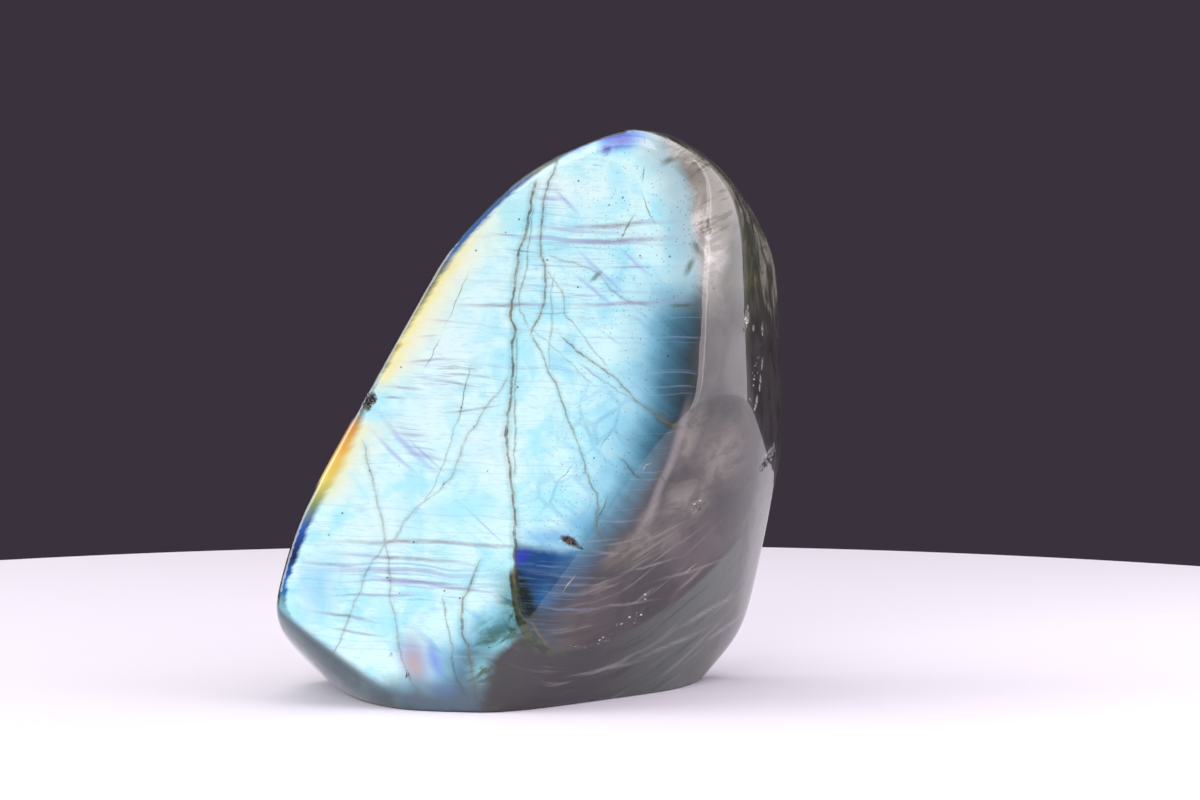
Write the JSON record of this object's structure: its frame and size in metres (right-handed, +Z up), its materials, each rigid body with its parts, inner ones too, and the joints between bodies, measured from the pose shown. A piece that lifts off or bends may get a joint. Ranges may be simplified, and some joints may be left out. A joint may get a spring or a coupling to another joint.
{
  "type": "polished labradorite",
  "caption": "Polished labradorite free form that stands on a flat sawn base, with a broad front face that flashes pale blue and gold.",
  "frame": {"origin": "middle of the stone's box, on the surface that its sawn base stands on", "axes": "+Z up along the stone's height, -Y out of the broad flashing front face, +X to the right as the picture shows it"},
  "size_m": [0.0872, 0.0479, 0.0978],
  "materials": {
    "labradorite": "high polish over grey feldspar with a pale blue, deep blue and gold flash, fine cracks and a few open pits"
  },
  "bodies": {
    "root": {"labradorite": "labradorite"}
  },
  "joints": []
}
